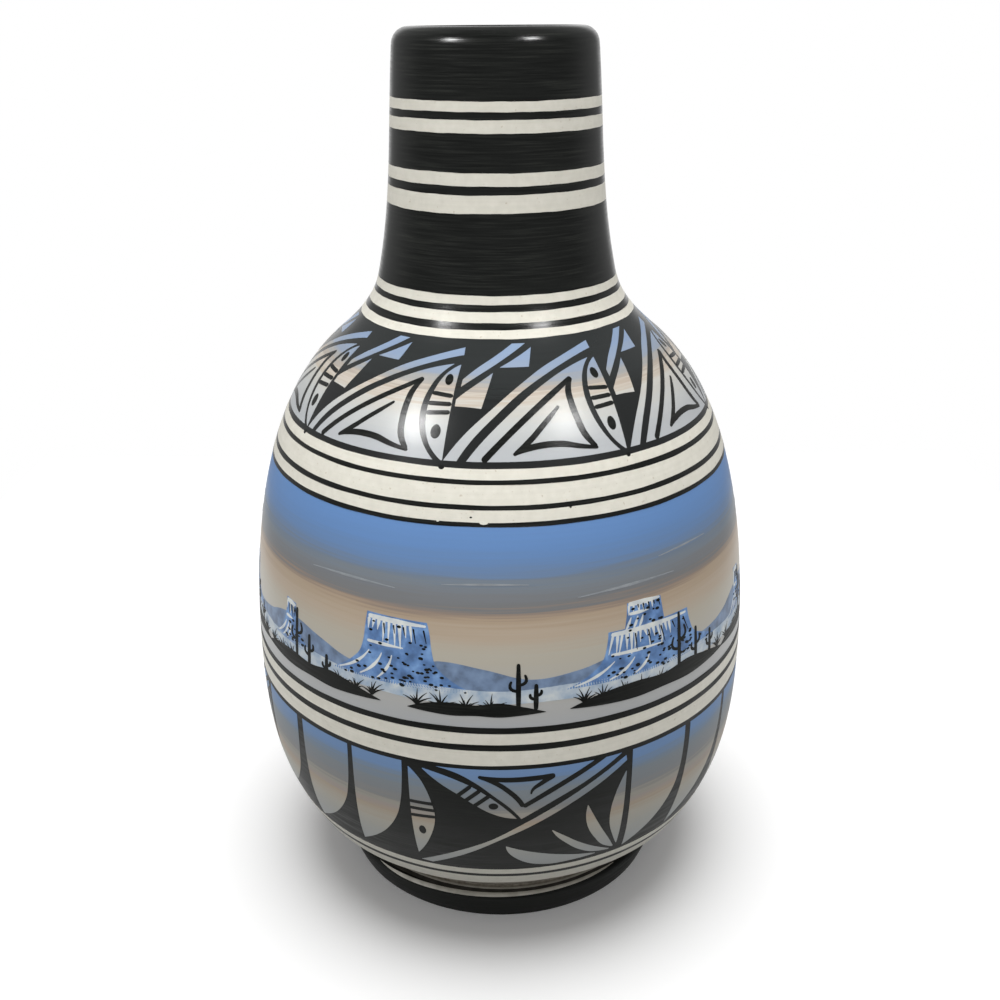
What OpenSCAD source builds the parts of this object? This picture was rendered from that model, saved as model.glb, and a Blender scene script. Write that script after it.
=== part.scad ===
// A round-bellied clay vase with a tall neck: four clay sections joined with slip, a glazed
// lining, and bands of brushed colour on the outside. Millimetres, +Z up, standing on z = 0.

/* [Foot] */
// Diameter of the foot ring where it stands
foot_d = 119; // [100:1:135]
// Diameter of the foot ring under its rounded top edge
foot_top_d = 127.2; // [115:0.2:140]
// Height of the foot ring, up to the seat of the body
foot_h = 12.2; // [10:0.1:20]
// Width of the foot ring, outside to inside
foot_ring_w = 10; // [8:0.5:14]
// Round along the foot ring's top edge
foot_bead = 1.9; // [1:0.1:4]
// Bare clay left under the foot's black band
foot_bare_h = 0.4; // [0.4:0.1:3]
// Turn of the rounded edge up to which the black goes, in degrees from level
foot_black_turn = 45; // [15:5:60]
// Height of the hollow under the floor
foot_recess_h = 5; // [2:0.5:7]
// Width of the ledge from the foot ring's top edge in to the waist of the body
ledge_w = 6.1; // [4.2:0.1:9]

/* [Body] */
// Height from the waist to the heel, the body's lower edge
heel_rise = 17.4; // [12:0.2:26]
// Diameter of the body at the heel
heel_d = 152.9; // [140:0.5:162]
// Lean of the wall at the heel, from level
heel_lean = 59; // [45:1:75]
// Pull of the heel on the lower curve
heel_pull = 14.3; // [6:0.1:24]
// Height from the heel to the widest place
low_h = 55.7; // [48:0.5:80]
// Diameter at the widest place
belly_d = 178.6; // [166:0.5:200]
// Pull of the widest place on the curve below it
belly_drop = 31; // [20:0.5:42]
// Pull of the widest place on the curve above it
belly_lift = 60.1; // [45:0.5:75]
// Height from the widest place to the turn of the shoulder
high_h = 117.8; // [108:0.5:140]
// Diameter at the turn of the shoulder
shoulder_d = 109.5; // [102:0.5:120]
// Slope of the shoulder at its turn, from level
shoulder_slope = 39.7; // [34:0.5:48]
// Pull of the turn on the shoulder's curve
shoulder_pull = 29.6; // [18:0.5:38]

/* [Neck] */
// Height from the turn of the shoulder to the root of the neck
collar_h = 24.8; // [23:0.2:34]
// Diameter at the root of the neck
collar_d = 77.8; // [72:0.2:82]
// Lean of the neck at its root, from upright
collar_lean = 11.4; // [4:0.2:14]
// Pull of the shoulder on the sweep into the neck
sweep_low = 18.4; // [12:0.2:21]
// Pull of the neck on the sweep into the shoulder
sweep_high = 6.9; // [3:0.1:10]
// Height of the neck from its root to the lip
neck_h = 71.6; // [66:0.2:110]
// Diameter at the lip
lip_d = 65.4; // [60:0.2:70]
// Lean of the neck at the lip, from upright
lip_lean = 5; // [0:0.5:8]
// Pull of both ends on the neck's curve
neck_pull = 23; // [8:0.5:26]
// Round over the outer edge of the lip
lip_round = 5.4; // [3:0.1:5.6]

/* [Clay] */
// Thickness of the clay wall
wall = 6; // [5.6:0.1:8]
// Thickness of the floor
floor_t = 8; // [6:0.5:12]
// Distance from the waist in to the flat of the floor
floor_inset = 9.5; // [6:0.5:16]
// Pull of the floor on the bowl's inside curve
floor_pull = 12; // [6:0.5:14]
// Pull of the wall on the bowl's inside curve
bowl_pull = 35; // [20:0.5:45]
// Overlap of the stepped joints between sections
joint_lap = 6; // [4:0.5:10]
// Gap that the joining slip fills
slip_gap = 0.2; // [0.1:0.05:0.4]
// Height of the body's joint over the foot of the sky band
body_joint_rise = 9; // [3:0.5:30]
// Height of the neck's joint over the collar stripes
neck_joint_rise = 3; // [1:0.5:8]

/* [Coats] */
// Thickness of a brushed coat of colour
coat = 0.4; // [0.2:0.05:0.6]
// Thickness of the glazed lining
glaze = 0.4; // [0.2:0.05:0.6]

/* [Stripes at the heel] */
// Cream stripe on the heel
heel_stripe_1 = 5.1; // [2:0.1:8]
// Black line over it
heel_line = 1.4; // [0.8:0.1:3]
// Cream stripe under the petal panel
heel_stripe_2 = 3.3; // [2:0.1:6]

/* [Stripes under the sky band] */
// Height of the sky band's lower edge over the widest place
sky_rise = 14.6; // [14:0.2:24]
// Cream stripe on the petal panel
girdle_stripe_1 = 5.3; // [2:0.1:7]
// Black line between the stripes
girdle_line_1 = 2.1; // [0.8:0.1:3]
// Cream stripe under the sky band's line
girdle_stripe_2 = 4.1; // [2:0.1:6]
// Black line under the sky band
girdle_line_2 = 2; // [0.8:0.1:3]

/* [Sky band and the stripes over it] */
// Height of the sky band
sky_h = 63.4; // [50:0.2:72]
// Black line over the sky band
crown_line_1 = 1.2; // [0.8:0.1:3]
// First cream stripe
crown_stripe_1 = 3.5; // [2:0.1:6]
// Second black line
crown_line_2 = 1.4; // [0.8:0.1:3]
// Second cream stripe
crown_stripe_2 = 5.6; // [2:0.1:8]
// Third black line
crown_line_3 = 1.3; // [0.8:0.1:3]
// Cream stripe under the shoulder panel
crown_stripe_3 = 3; // [2:0.1:6]

/* [Stripes on the collar] */
// Height of the shoulder panel's upper edge over the turn of the shoulder
collar_rise = 8.2; // [5:0.2:9]
// Lowest cream stripe
collar_stripe_1 = 2.3; // [1.5:0.1:3]
// Black line over it
collar_line_1 = 1.7; // [0.8:0.1:2.2]
// Middle cream stripe
collar_stripe_2 = 3.3; // [2:0.1:4]
// Black line over that
collar_line_2 = 1.7; // [0.8:0.1:2.2]
// Upper cream stripe
collar_stripe_3 = 2.8; // [1.5:0.1:3.5]

/* [Stripes on the neck] */
// Black band from the lip down
rim_band = 20.3; // [12:0.1:24]
// Cream stripe under the black band
rim_stripe_1 = 3.2; // [1.5:0.1:5]
// Black line under it
rim_line = 2.1; // [0.8:0.1:3]
// Cream stripe under that
rim_stripe_2 = 3.9; // [1.5:0.1:5]
// Black band half way down the neck
throat_band = 11.1; // [6:0.1:14]
// Cream stripe under it
throat_stripe_1 = 3.9; // [1.5:0.1:5]
// Black line under it
throat_line = 2.4; // [0.8:0.1:3]
// Cream stripe over the neck's lowest band
throat_stripe_2 = 5.6; // [2:0.1:7]

/* [Hidden] */
$fn = 96;
// Points on each curve of the outline, and the tallest step between two levels of a wall
curve_steps = 40;
level_step = 3;
bowl_steps = 14;
round_step = 15;
// Small height over which the slope of the wall is taken
slope_reach = 0.1;

foot_r = foot_d / 2;
foot_top_r = foot_top_d / 2;
foot_in_r = foot_r - foot_ring_w;
waist_r = foot_top_r - ledge_w;
lip_r = lip_d / 2;

heel_z = foot_h + heel_rise;
belly_z = heel_z + low_h;
shoulder_z = belly_z + high_h;
collar_z = shoulder_z + collar_h;
height = collar_z + neck_h;
lip_middle_z = height - lip_round;
lip_edge_z = lip_middle_z + lip_round * sin(lip_lean);
floor_z = foot_recess_h + floor_t;
floor_r = waist_r - floor_inset;

// The outline's knots, as [radius, height], and the directions in which it passes them
heel = [heel_d / 2, heel_z];
belly = [belly_d / 2, belly_z];
shoulder = [shoulder_d / 2, shoulder_z];
collar = [collar_d / 2, collar_z];
lip_edge = [lip_r, lip_edge_z];
up = [0, 1];
heel_way = [cos(heel_lean), sin(heel_lean)];
shoulder_way = [-cos(shoulder_slope), sin(shoulder_slope)];
collar_way = [-sin(collar_lean), cos(collar_lean)];
lip_way = [-sin(lip_lean), cos(lip_lean)];

function cubic(a, b, c, d, t) =
    pow(1 - t, 3) * a + 3 * t * pow(1 - t, 2) * b + 3 * t * t * (1 - t) * c + pow(t, 3) * d;

function low_curve(t) = cubic(heel, heel + heel_pull * heel_way, belly - belly_drop * up, belly, t);
function high_curve(t) =
    cubic(belly, belly + belly_lift * up, shoulder - shoulder_pull * shoulder_way, shoulder, t);
function sweep_curve(t) =
    cubic(shoulder, shoulder + sweep_low * shoulder_way, collar - sweep_high * collar_way, collar, t);
function neck_curve(t) =
    cubic(collar, collar + neck_pull * collar_way, lip_edge - neck_pull * lip_way, lip_edge, t);

// The outline from just under the heel to just over the lip's edge
outline = concat(
    [for (i = [-1:curve_steps - 1]) low_curve(i / curve_steps)],
    [for (i = [0:curve_steps - 1]) high_curve(i / curve_steps)],
    [for (i = [0:curve_steps - 1]) sweep_curve(i / curve_steps)],
    [for (i = [0:curve_steps + 1]) neck_curve(i / curve_steps)]
);
radius_table = [for (p = outline) [p[1], p[0]]];
function radius_at(z) = lookup(z, radius_table);

// The point a given depth under the painted surface, square to the wall at height z
function inset(z, depth) =
    let (rise = 2 * slope_reach)
    let (run = radius_at(z + slope_reach) - radius_at(z - slope_reach))
    [radius_at(z), z] + depth * [-rise, run] / norm([rise, run]);

// Heights of the edges of a stack of stripes, from its foot up
function total(widths, n) = n == 0 ? 0 : widths[n - 1] + total(widths, n - 1);
function stack(base, widths) = [for (i = [0:len(widths)]) base + total(widths, i)];

girdle_widths = [girdle_stripe_1, girdle_line_1, girdle_stripe_2, girdle_line_2];
crown_widths = [crown_line_1, crown_stripe_1, crown_line_2, crown_stripe_2, crown_line_3, crown_stripe_3];
collar_widths = [collar_stripe_1, collar_line_1, collar_stripe_2, collar_line_2, collar_stripe_3];
neck_widths = [
    throat_stripe_2, throat_line, throat_stripe_1, throat_band, rim_stripe_2, rim_line, rim_stripe_1
];

sky_z = belly_z + sky_rise;
body_joint_z = sky_z + body_joint_rise;
heel_edges = stack(heel_z, [heel_stripe_1, heel_line, heel_stripe_2]);
girdle_edges = stack(sky_z - total(girdle_widths, len(girdle_widths)), girdle_widths);
crown_edges = stack(sky_z + sky_h, crown_widths);
collar_edges = stack(shoulder_z + collar_rise, collar_widths);
neck_edges = stack(height - rim_band - total(neck_widths, len(neck_widths)), neck_widths);
neck_joint_z = collar_edges[len(collar_widths)] + neck_joint_rise;

function joint_edges(z) = [z - slip_gap, z, z + joint_lap - slip_gap, z + joint_lap];
edges = concat(
    heel_edges, girdle_edges, joint_edges(body_joint_z), crown_edges,
    collar_edges, joint_edges(neck_joint_z), neck_edges, [lip_edge_z]
);

// Every height at which the walls have a ring of points: all edges, and even steps between them
function steps_over(i) = ceil((edges[i + 1] - edges[i]) / level_step);
function levels_over(i) =
    [for (k = [0:steps_over(i) - 1]) edges[i] + (edges[i + 1] - edges[i]) * k / steps_over(i)];
levels = concat([for (i = [0:len(edges) - 2]) each levels_over(i)], [lip_edge_z]);

function reverse(list) = [for (i = [len(list) - 1:-1:0]) list[i]];
// A line along the wall between two heights, a given depth under the painted surface
function wall_line(low_z, high_z, depth) =
    concat(
        [inset(low_z, depth)],
        [for (z = levels) if (z > low_z + slope_reach / 2 && z < high_z - slope_reach / 2) inset(z, depth)],
        [inset(high_z, depth)]
    );

// The clay's own depths: its outer face, the middle of the wall and its inner face
clay_out = coat;
clay_mid = coat + wall / 2;
clay_in = coat + wall;

// The rounded lip from outside to inside, for the given half widths and height of its round
lip_middle = lip_r - lip_round * cos(lip_lean);
lip_in_w = clay_in + glaze - lip_round;
function lip_line(out_w, in_w, rise) =
    [for (a = [round_step:round_step:180 - round_step])
        [lip_middle + (a < 90 ? out_w : in_w) * cos(a), lip_middle_z + rise * sin(a)]];
painted_lip = lip_line(lip_round, lip_in_w, lip_round);
clay_lip = lip_line(lip_round - coat, lip_in_w - glaze, lip_round - coat);

// The inside of the pot from the middle of the floor up to a height, a given depth into the hollow
bowl_z = girdle_edges[0];
function bowl_line(depth) =
    let (from = [floor_r, floor_z + depth])
    let (to = inset(bowl_z, clay_in + depth))
    [for (i = [0:bowl_steps - 1])
        cubic(from, from + [floor_pull, 0], to - bowl_pull * up, to, i / bowl_steps)];
function inside_line(depth, high_z) =
    concat([[0, floor_z + depth]], bowl_line(depth), wall_line(bowl_z, high_z, clay_in + depth));

// The foot ring's rounded top edge, from its side to its top, for a given depth of coat
bead_z = foot_h - foot_bead;
bead_middle = foot_top_r - foot_bead;
function even_turns(low, high) =
    let (n = ceil((high - low) / round_step)) [for (i = [0:n]) low + (high - low) * i / n];
black_turns = even_turns(0, foot_black_turn);
cream_turns = even_turns(foot_black_turn, 90);
edge_turns = concat(black_turns, [for (i = [1:len(cream_turns) - 1]) cream_turns[i]]);
function bead_line(depth, turns) =
    [for (a = turns)
        [bead_middle + (foot_bead - depth) * cos(a), bead_z + (foot_bead - depth) * sin(a)]];
foot_side_r = foot_r + (foot_top_r - foot_r) * foot_bare_h / bead_z;

clay_colour = "#d9d3c4";
cream_colour = "#dcd8cc";
black_colour = "#232422";
sky_colour = "#8b9bb8";
panel_colour = "#5b6068";
lining_colour = "#3a332c";

module turned(points) {
    rotate_extrude() polygon(points);
}

// One brushed band between two heights
module band(low_z, high_z) {
    turned(concat(wall_line(low_z, high_z, 0), reverse(wall_line(low_z, high_z, coat))));
}

// The bands of a stack of edges that start at every second edge from the given one
module every_second_band(stack_edges, first) {
    for (i = [first:2:len(stack_edges) - 2])
        band(stack_edges[i], stack_edges[i + 1]);
}

// Turned ring with a flat seat on top and a rebate for the coat on its rounded edge
module foot_ring() {
    color(clay_colour)
        turned(concat(
            [[foot_in_r, 0], [foot_r - coat, 0], [foot_side_r - coat, foot_bare_h]],
            bead_line(coat, edge_turns),
            [[waist_r, foot_h - coat], [waist_r, foot_h], [foot_in_r, foot_h]]
        ));
}

// Bowl with a spigot that fits the foot ring and a tongue that fits the upper body
module lower_body() {
    color(clay_colour)
        turned(concat(
            [
                [0, foot_recess_h],
                [foot_in_r - slip_gap, foot_recess_h],
                [foot_in_r - slip_gap, foot_h + slip_gap],
                [waist_r, foot_h + slip_gap]
            ],
            wall_line(heel_z, body_joint_z - slip_gap, clay_out),
            wall_line(body_joint_z - slip_gap, body_joint_z + joint_lap - slip_gap, clay_mid + slip_gap / 2),
            reverse(inside_line(0, body_joint_z + joint_lap - slip_gap))
        ));
}

// Dome with a skirt over the lower body's tongue and a tongue for the neck
module upper_body() {
    color(clay_colour)
        turned(concat(
            wall_line(body_joint_z, neck_joint_z - slip_gap, clay_out),
            wall_line(neck_joint_z - slip_gap, neck_joint_z + joint_lap - slip_gap, clay_mid + slip_gap / 2),
            reverse(wall_line(body_joint_z + joint_lap, neck_joint_z + joint_lap - slip_gap, clay_in)),
            reverse(wall_line(body_joint_z, body_joint_z + joint_lap, clay_mid - slip_gap / 2))
        ));
}

// Tube with a skirt over the upper body's tongue and a rounded lip
module neck() {
    color(clay_colour)
        turned(concat(
            wall_line(neck_joint_z, lip_edge_z, clay_out),
            clay_lip,
            reverse(wall_line(neck_joint_z + joint_lap, lip_edge_z, clay_in)),
            reverse(wall_line(neck_joint_z, neck_joint_z + joint_lap, clay_mid - slip_gap / 2))
        ));
}

// Glaze over the whole inside, from the floor up to the lip
module liner_glaze() {
    color(lining_colour)
        turned(concat(inside_line(0, lip_edge_z), reverse(inside_line(glaze, lip_edge_z))));
}

// Black on the neck; the top band goes over the lip and meets the lining inside it
module neck_black_bands() {
    rim_z = neck_edges[len(neck_widths)];
    color(black_colour) {
        band(collar_edges[len(collar_widths)], neck_edges[0]);
        band(neck_edges[1], neck_edges[2]);
        band(neck_edges[3], neck_edges[4]);
        band(neck_edges[5], neck_edges[6]);
        turned(concat(
            wall_line(rim_z, lip_edge_z, 0),
            painted_lip,
            [inset(lip_edge_z, clay_in + glaze), inset(lip_edge_z, clay_in)],
            reverse(clay_lip),
            reverse(wall_line(rim_z, lip_edge_z, coat))
        ));
    }
}

module neck_cream_stripes() {
    color(cream_colour) every_second_band(neck_edges, 0);
}

module collar_black_lines() {
    color(black_colour) every_second_band(collar_edges, 1);
}

module collar_cream_stripes() {
    color(cream_colour) every_second_band(collar_edges, 0);
}

module shoulder_panel() {
    color(panel_colour) band(crown_edges[len(crown_widths)], collar_edges[0]);
}

module crown_black_lines() {
    color(black_colour) every_second_band(crown_edges, 0);
}

module crown_cream_stripes() {
    color(cream_colour) every_second_band(crown_edges, 1);
}

module sky_band() {
    color(sky_colour) band(sky_z, crown_edges[0]);
}

module girdle_black_lines() {
    color(black_colour) every_second_band(girdle_edges, 1);
}

module girdle_cream_stripes() {
    color(cream_colour) every_second_band(girdle_edges, 0);
}

module petal_panel() {
    color(panel_colour) band(heel_edges[len(heel_edges) - 1], girdle_edges[0]);
}

module heel_black_line() {
    color(black_colour) every_second_band(heel_edges, 1);
}

module heel_cream_stripes() {
    color(cream_colour) every_second_band(heel_edges, 0);
}

// Cream over the rounded top edge of the foot ring, in as far as the body
module foot_cream_bead() {
    color(cream_colour)
        turned(concat(
            bead_line(0, cream_turns),
            [[waist_r, foot_h], [waist_r, foot_h - coat]],
            reverse(bead_line(coat, cream_turns))
        ));
}

// Black round the side of the foot ring and up onto its rounded edge, clear of the surface that it stands on
module foot_black_band() {
    color(black_colour)
        turned(concat(
            [[foot_side_r, foot_bare_h]],
            bead_line(0, black_turns),
            reverse(bead_line(coat, black_turns)),
            [[foot_side_r - coat, foot_bare_h]]
        ));
}

foot_ring();
lower_body();
upper_body();
neck();
liner_glaze();
neck_black_bands();
neck_cream_stripes();
collar_black_lines();
collar_cream_stripes();
shoulder_panel();
crown_black_lines();
crown_cream_stripes();
sky_band();
girdle_black_lines();
girdle_cream_stripes();
petal_panel();
heel_black_line();
heel_cream_stripes();
foot_cream_bead();
foot_black_band();
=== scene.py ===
"""Looks of the painted clay vase: slip bands, painted panels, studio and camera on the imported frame."""

import math

import bpy
import numpy as np
from mathutils import Matrix, Vector


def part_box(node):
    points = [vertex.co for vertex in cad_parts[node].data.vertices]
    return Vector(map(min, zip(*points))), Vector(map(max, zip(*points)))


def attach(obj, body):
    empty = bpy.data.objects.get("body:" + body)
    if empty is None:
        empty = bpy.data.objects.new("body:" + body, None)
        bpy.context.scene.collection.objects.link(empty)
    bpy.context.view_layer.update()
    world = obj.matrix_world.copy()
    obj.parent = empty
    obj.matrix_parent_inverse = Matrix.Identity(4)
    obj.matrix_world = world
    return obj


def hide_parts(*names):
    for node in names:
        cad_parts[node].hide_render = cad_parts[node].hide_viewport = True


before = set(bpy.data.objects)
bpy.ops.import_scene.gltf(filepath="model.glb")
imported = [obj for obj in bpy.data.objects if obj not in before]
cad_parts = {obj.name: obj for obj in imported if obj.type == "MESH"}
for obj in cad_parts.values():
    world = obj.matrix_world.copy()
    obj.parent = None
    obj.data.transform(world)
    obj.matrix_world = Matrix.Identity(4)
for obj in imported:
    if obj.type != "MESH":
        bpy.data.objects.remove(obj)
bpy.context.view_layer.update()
MM = 0.001

# Coats of the turned wall from the heel to the lip
WALL_COATS = (
    "heel_cream_stripes",
    "heel_black_line",
    "petal_panel",
    "girdle_cream_stripes",
    "girdle_black_lines",
    "sky_band",
    "crown_black_lines",
    "crown_cream_stripes",
    "shoulder_panel",
    "collar_cream_stripes",
    "collar_black_lines",
    "neck_cream_stripes",
    "neck_black_bands",
)
# Depths of a layer's face and back under the frame's own face
STRIPE_LAYER = (0.03 * MM, 0.34 * MM)
BLACK_LAYER = (0.02 * MM, 0.34 * MM)
GROUND_LAYER = (0.12 * MM, 0.34 * MM)
FAR_LAYER = (0.095 * MM, 0.20 * MM)
SHAPE_LAYER = (0.07 * MM, 0.20 * MM)
DAB_LAYER = (0.045 * MM, 0.20 * MM)
LINE_LAYER = (0.02 * MM, 0.20 * MM)
# Steps of the meshes: round the pot, up a band, up the wall's line, and in a drawing, in millimetres
TURN_STEPS = 300
ROW_STEP = 1.2 * MM
WALL_STEPS = 3000
DRAW_STEP = 0.9
# Fewest rows of a drawn area, and in how many places its width is measured
AREA_ROWS = 6
AREA_PROBES = 8
# A brush line: its fewest rows, how much closer they lie than a drawing's steps, how many points of the path
# each row is picked from, and half the width, in millimetres, at which its tip is closed
LINE_ROWS = 10
LINE_DENSITY = 1.4
LINE_PICKS = 20
LINE_TIP = 0.03
# Two heights closer than this are one, and a coat's triangle shorter than this belongs to its edge
NEAR = 0.01 * MM
COAT_EDGE = 0.6 * MM
# A triangle whose normal points away from the axis by this share or more looks outwards
OUTWARD_SHARE = 0.3
# Faces that meet at more than this many degrees keep a sharp edge between them
SHARP_ANGLE = 40
# A hand on the banding wheel lets an edge drift by this much, in slow, middling and quick waves, each a count
# round the pot and a strength; their phase moves on by so many radians with each millimetre of height
DRIFT = 0.09 * MM
DRIFT_WAVES = ((2, 1.0), (5, 0.7), (13, 0.45), (29, 0.3))
DRIFT_PHASE = 7.3


def curve(points, count):
    """Smooth line through given points: a cubic between each two, whose slope at a point
    comes from its neighbours by distance along the line. Two points give a straight line."""
    points = np.asarray(points, float)
    if len(points) == 2:
        share = np.linspace(0, 1, count)[:, None]
        return points[0] * (1 - share) + points[1] * share
    gaps = np.maximum(np.hypot(*np.diff(points, axis=0).T), 1e-9)
    run = np.concatenate([[0], np.cumsum(gaps)])
    slopes = np.gradient(points, run, axis=0, edge_order=2)
    place = np.linspace(0, run[-1], count)
    first = np.clip(np.searchsorted(run, place, side="right") - 1, 0, len(gaps) - 1)
    gap = gaps[first][:, None]
    f = (place - run[first])[:, None] / gap
    from_start = (2 * f**3 - 3 * f**2 + 1) * points[first] + (f**3 - 2 * f**2 + f) * gap * slopes[first]
    from_end = (3 * f**2 - 2 * f**3) * points[first + 1] + (f**3 - f**2) * gap * slopes[first + 1]
    return from_start + from_end


def node_points(name):
    """Vertices of a frame's node in the shared frame, and its triangles as rows of three."""
    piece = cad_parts[name]
    mesh = piece.data
    points = np.empty(3 * len(mesh.vertices))
    mesh.vertices.foreach_get("co", points)
    turn = np.array(piece.matrix_world)
    mesh.calc_loop_triangles()
    corners = np.empty(3 * len(mesh.loop_triangles), int)
    mesh.loop_triangles.foreach_get("vertices", corners)
    return points.reshape(-1, 3) @ turn[:3, :3].T + turn[:3, 3], corners.reshape(-1, 3)


def outer_triangles(name):
    """Corners, as radius and height, of a coat's triangles that look away from the axis and are longer
    up the wall than the coat is thick, so that its back and its edges are left out."""
    points, corners = node_points(name)
    a, b, c = points[corners].transpose(1, 0, 2)
    facing = np.cross(b - a, c - a)
    facing /= np.maximum(np.linalg.norm(facing, axis=1), 1e-12)[:, None]
    middle = (a + b + c)[:, :2]
    outward = (facing[:, :2] * middle).sum(1) / np.linalg.norm(middle, axis=1)
    line = np.stack([np.hypot(points[:, 0], points[:, 1]), points[:, 2]], 1)[corners]
    return line[(outward > OUTWARD_SHARE) & (np.linalg.norm(np.ptp(line, axis=1), axis=1) > COAT_EDGE)]


def read_wall(coats):
    """Wall of the frame, as the radius of each ring of its coats' outer triangles by height, and its
    bands, each the stretch of rings that one coat's triangles span. Rings inside the mouth are left out."""
    read = [outer_triangles(coat) for coat in coats]
    rings = np.concatenate(read).reshape(-1, 2)
    rings = rings[rings[:, 0] > lip_middle_r]
    heights = np.round(rings[:, 1], 6)
    levels = np.unique(heights[heights <= lip_edge_z + NEAR])
    kept = heights <= levels[-1]
    radii = np.zeros(len(levels))
    np.maximum.at(radii, np.searchsorted(levels, heights[kept]), rings[kept, 0])
    apart = np.concatenate([[True], np.diff(levels) > COAT_EDGE])
    levels, radii = levels[apart], radii[apart]
    middles = (levels[1:] + levels[:-1]) / 2
    spans = [(z.min(1)[:, None], z.max(1)[:, None]) for z in (each[:, :, 1] for each in read)]
    owner = np.argmax([((low < middles) & (high > middles)).any(0) for low, high in spans], axis=0)
    cuts = np.concatenate([[0], np.flatnonzero(np.diff(owner)) + 1, [len(owner)]])
    bands = [(coats[owner[a]], levels[a], levels[b]) for a, b in zip(cuts[:-1], cuts[1:])]
    return np.stack([radii, levels], 1), bands


def read_lip(coat):
    """Round of the lip: its middle's radius, the height of its top, its own radius, found from the highest
    ring under the top, and the height where it starts, which is its lowest ring."""
    points = node_points(coat)[0]
    top = points[:, 2].max()
    middle = np.hypot(*points[points[:, 2] > top - NEAR, :2].T).mean()
    rings = outer_triangles(coat).reshape(-1, 2)
    out, under = rings[:, 0] - middle, top - rings[:, 1]
    highest = np.argmin(under)
    size = (out[highest] ** 2 + under[highest] ** 2) / (2 * under[highest])
    on_round = np.abs(np.hypot(out, under - size) - size) < NEAR
    return middle, top, size, rings[on_round, 1].min()


lip_middle_r, lip_top_z, lip_round, lip_edge_z = read_lip("neck_black_bands")
wall_rings, wall_bands = read_wall(WALL_COATS)
wall_r, wall_z = curve(wall_rings, WALL_STEPS).T
wall_run = np.concatenate([[0], np.cumsum(np.hypot(np.diff(wall_r), np.diff(wall_z)))])
wall_out = np.gradient(wall_z, wall_run)
wall_up = -np.gradient(wall_r, wall_run)


def on_wall(angle, height, depth):
    """Points of the wall at an angle from the front and a height, pushed in along its normal."""
    radius = np.interp(height, wall_z, wall_r) - depth * np.interp(height, wall_z, wall_out)
    up = height - depth * np.interp(height, wall_z, wall_up)
    return np.stack(np.broadcast_arrays(radius * np.sin(angle), -radius * np.cos(angle), up), -1)


def grid_quads(rows, columns, closed=False):
    """Four corners of each cell of a grid, joined across both its ends where it closes on itself."""
    open_ends = 0 if closed else 1
    i, j = np.meshgrid(np.arange(rows - open_ends), np.arange(columns - open_ends), indexing="ij")
    i, j = i.ravel(), j.ravel()
    up, on = (i + 1) % rows, (j + 1) % columns
    return np.stack([i * columns + j, up * columns + j, up * columns + on, i * columns + on], 1)


def lathe(profile):
    """Closed line of radius and height, or one line per step of the turn, carried once round."""
    profile = np.asarray(profile)
    if profile.ndim == 2:
        profile = np.broadcast_to(profile, (TURN_STEPS, *profile.shape))
    turn = np.linspace(0, 2 * np.pi, TURN_STEPS, endpoint=False)[:, None]
    radius, height = profile[..., 0], profile[..., 1]
    points = np.stack([radius * np.sin(turn), -radius * np.cos(turn), height], -1)
    return points.reshape(-1, 3), grid_quads(*profile.shape[:2], closed=True)


def shell(angle, height, layer, place=on_wall):
    """Thin closed skin on the wall: a grid of angles and heights at the layer's face, the same grid
    at its back turned round, and walls between their four borders."""
    face, back = (place(angle, height, depth) for depth in layer)
    rows, columns = angle.shape
    count = rows * columns
    across = np.cross(face[1:, :-1] - face[:-1, :-1], face[:-1, 1:] - face[:-1, :-1])
    if (across * face[:-1, :-1]).sum() < 0:
        face, back = face[:, ::-1], back[:, ::-1]
    quads = grid_quads(rows, columns)
    rim = np.arange(count).reshape(rows, columns)
    rim = np.concatenate([rim[:-1, 0], rim[-1, :-1], rim[:0:-1, -1], rim[0, :0:-1]])
    ahead = np.roll(rim, -1)
    walls = np.stack([ahead, rim, rim + count, ahead + count], 1)
    points = np.concatenate([face.reshape(-1, 3), back.reshape(-1, 3)])
    return points, np.concatenate([quads, quads[:, ::-1] + count, walls])


def drifted(height, turn):
    """Hand-banded edge: a height plus a few waves round the pot, whose phases come from the height."""
    phase = height / MM * DRIFT_PHASE
    waves = sum(share * np.sin(count * turn + phase * count) for count, share in DRIFT_WAVES)
    return height + DRIFT * waves


def band(low, high, layer, above=None):
    """Ring of slip between two drifted edges: the wall's line at the layer's face, then back down at
    its back. Above, if given, goes on from the face's top edge as a line of its own."""
    turn = np.linspace(0, 2 * np.pi, TURN_STEPS, endpoint=False)[:, None]
    steps = max(2, round((high - low) / ROW_STEP) + 1)
    share = np.linspace(0, 1, steps)
    bottom = drifted(low, turn)
    top = drifted(high, turn) if above is None else np.full_like(turn, high)
    rise = bottom + (top - bottom) * share
    lines = []
    for depth in layer:
        radius = np.interp(rise, wall_z, wall_r) - depth * np.interp(rise, wall_z, wall_out)
        lines.append(np.stack([radius, rise - depth * np.interp(rise, wall_z, wall_up)], -1))
    lines[1] = lines[1][:, ::-1]
    if above is not None:
        lines.insert(1, np.broadcast_to(above, (TURN_STEPS, *above.shape)))
    return lathe(np.concatenate(lines, 1))


def lay(zero, start=0.0, stretch=1.0):
    """Lays a drawing on the wall: its degrees count from a start, its millimetres up from a height."""
    base = np.interp(zero, wall_z, wall_run)

    def at(drawn):
        height = np.interp(base + drawn[..., 1] * MM, wall_run, wall_z)
        return np.radians(start + stretch * drawn[..., 0]), height

    return at


def leaning(at, lean, span, top):
    """Drawing whose foot is pushed sideways by a lean in degrees: most in the middle of its span, and less
    the further up it lies."""

    def leant(drawn):
        push = lean * np.sin(np.pi * drawn[..., 0] / span) * np.clip(1 - drawn[..., 1] / top, 0, 1)
        return at(drawn + np.stack([push, np.zeros_like(push)], -1))

    return leant


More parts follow.
